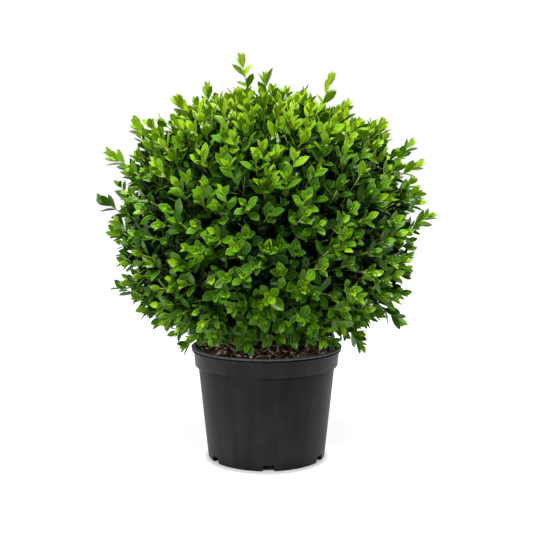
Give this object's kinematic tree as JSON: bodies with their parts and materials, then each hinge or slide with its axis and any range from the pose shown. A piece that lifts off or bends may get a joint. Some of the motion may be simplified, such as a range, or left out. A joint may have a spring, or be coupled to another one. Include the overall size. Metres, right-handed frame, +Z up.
{
  "type": "potted boxwood",
  "caption": "Dense round ball of boxwood on a short stem, in a tapered black plastic nursery pot with a collar, a flat lip and drainage notches round its foot.",
  "frame": {"origin": "middle of the flat underside of the pot", "axes": "+Z up along the pot's axis, -Y towards the side that the picture shows, +X to the right in it"},
  "size_m": [0.5184, 0.5137, 0.6163],
  "materials": {
    "pot_plastic": "charcoal injection-moulded plastic, satin, scuffed paler on the lip",
    "potting_mix": "loose dark bark-based potting mix with chips and perlite",
    "bark": "grey-brown ridged bark",
    "leaves": "glossy evergreen leaves on thin green twigs"
  },
  "bodies": {
    "root": {"pot": "pot_plastic", "potting_mix": "potting_mix", "trunk": "bark", "bough_low_1": "bark", "bough_low_2": "bark", "bough_low_3": "bark", "bough_low_4": "bark", "bough_low_5": "bark", "bough_low_6": "bark", "bough_high_1": "bark", "bough_high_2": "bark", "bough_high_3": "bark", "bough_high_4": "bark", "bough_high_5": "bark", "foliage_low_1": "leaves", "foliage_low_2": "leaves", "foliage_low_3": "leaves", "foliage_low_4": "leaves", "foliage_low_5": "leaves", "foliage_low_6": "leaves", "foliage_high_1": "leaves", "foliage_high_2": "leaves", "foliage_high_3": "leaves", "foliage_high_4": "leaves", "foliage_high_5": "leaves", "foliage_top": "leaves"}
  },
  "joints": []
}
